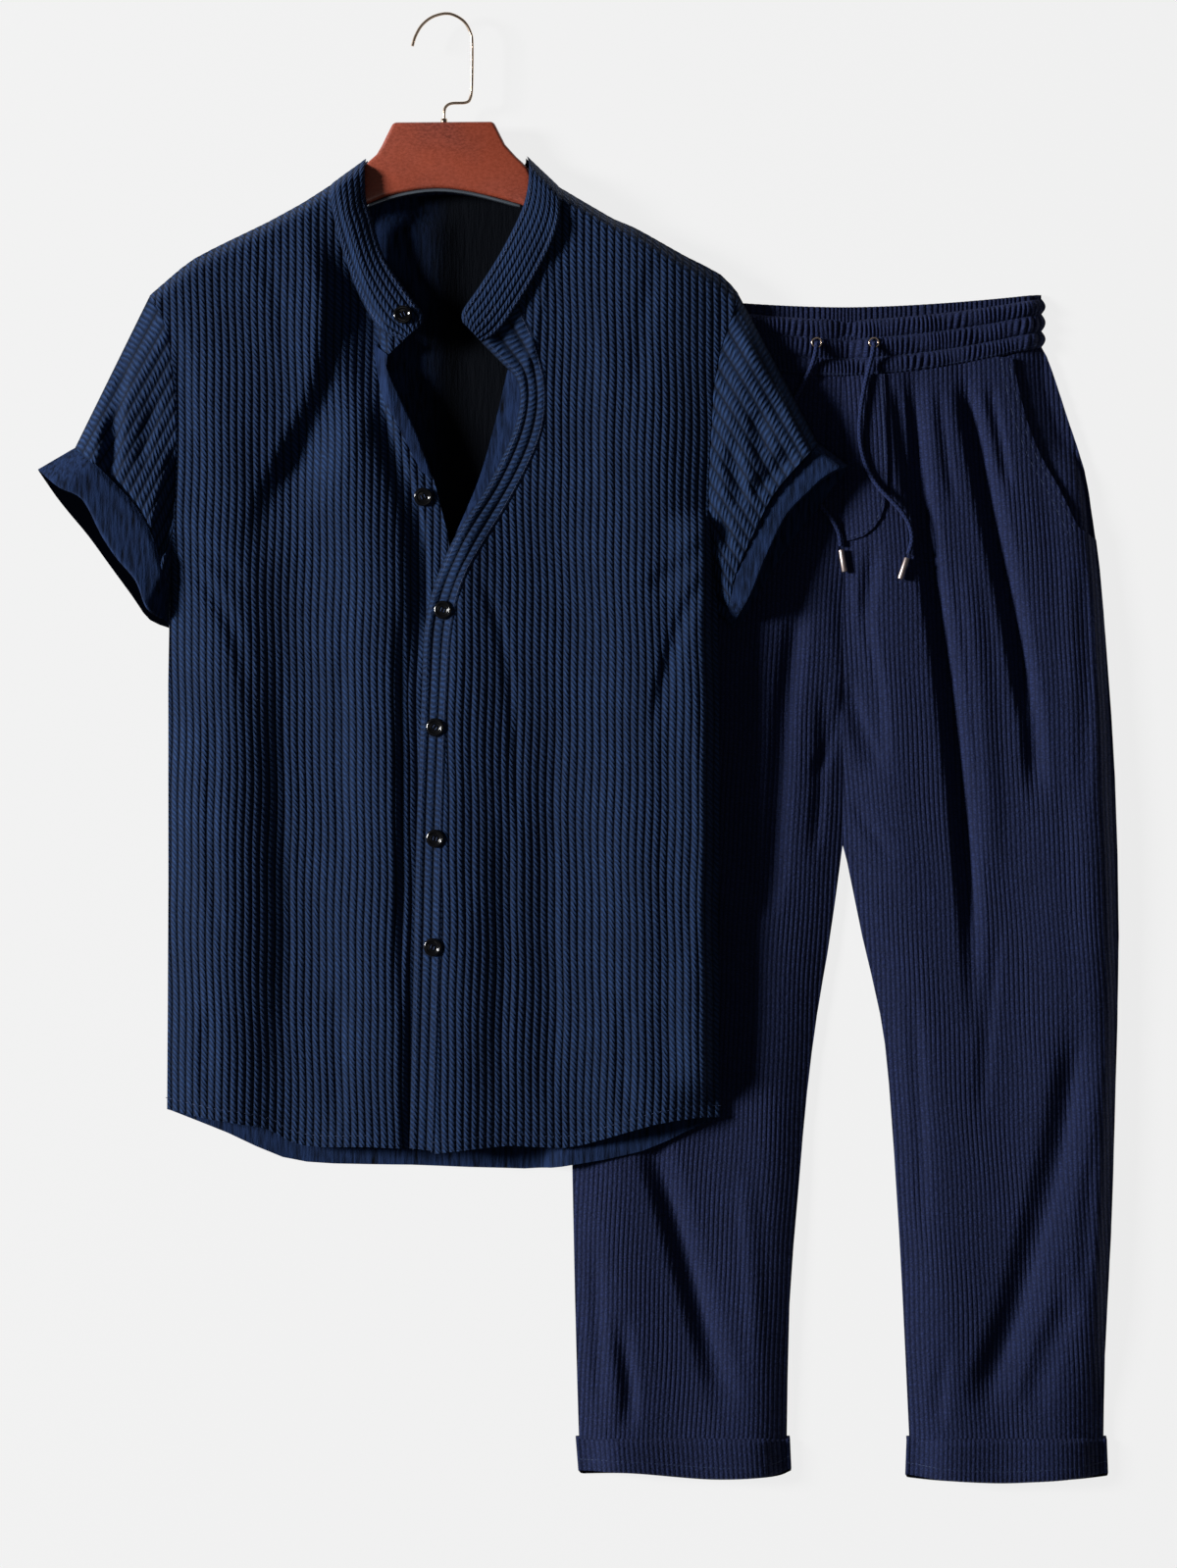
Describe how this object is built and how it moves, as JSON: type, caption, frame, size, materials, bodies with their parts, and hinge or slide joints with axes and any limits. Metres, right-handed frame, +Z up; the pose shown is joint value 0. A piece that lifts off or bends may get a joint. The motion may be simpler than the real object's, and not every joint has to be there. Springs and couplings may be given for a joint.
{
  "type": "shirt and trousers set with hanger",
  "caption": "Ribbed short-sleeved band-collar shirt on a wooden hanger, laid flat over matching drawstring trousers with turned-up hems.",
  "frame": {"origin": "middle of the laid-out set's bounding box, on the surface that it lies on", "axes": "+X across the set to the trousers' side, +Y up the garments towards the hanger's hook, +Z up from the surface"},
  "size_m": [0.8529, 1.1597, 0.0394],
  "materials": {
    "shirt cloth": "matt, ribbed",
    "trouser cloth": "matt, ribbed and crinkled",
    "cord": "matt, braided",
    "button": "glossy",
    "wood": "satin varnish",
    "grey metal": "polished",
    "pale gold": "polished"
  },
  "bodies": {
    "root": {"button_1": "button", "button_2": "button", "button_3": "button", "button_4": "button", "button_5": "button", "button_6": "button", "collar_back": "shirt cloth", "collar_left": "shirt cloth", "collar_right": "shirt cloth", "drawstring_left": "cord", "drawstring_right": "cord", "eyelet_left": "pale gold", "eyelet_right": "pale gold", "facing_left": "shirt cloth", "facing_right": "shirt cloth", "fly": "trouser cloth", "hanger": "wood", "hanger_strip": "grey metal", "hem_turnup_left": "trouser cloth", "hem_turnup_right": "trouser cloth", "hook": "grey metal", "placket_left": "shirt cloth", "pocket_facing_left": "trouser cloth", "shirt_back": "shirt cloth", "shirt_front_left": "shirt cloth", "shirt_front_right": "shirt cloth", "sleeve_left": "shirt cloth", "sleeve_right": "shirt cloth", "sleeve_turnup_left": "shirt cloth", "sleeve_turnup_right": "shirt cloth", "tip_left": "pale gold", "tip_right": "pale gold", "trouser_back_left": "trouser cloth", "trouser_back_right": "trouser cloth", "trouser_front_left": "trouser cloth", "trouser_front_right": "trouser cloth", "waistband_back": "trouser cloth", "waistband_front": "trouser cloth"}
  },
  "joints": []
}
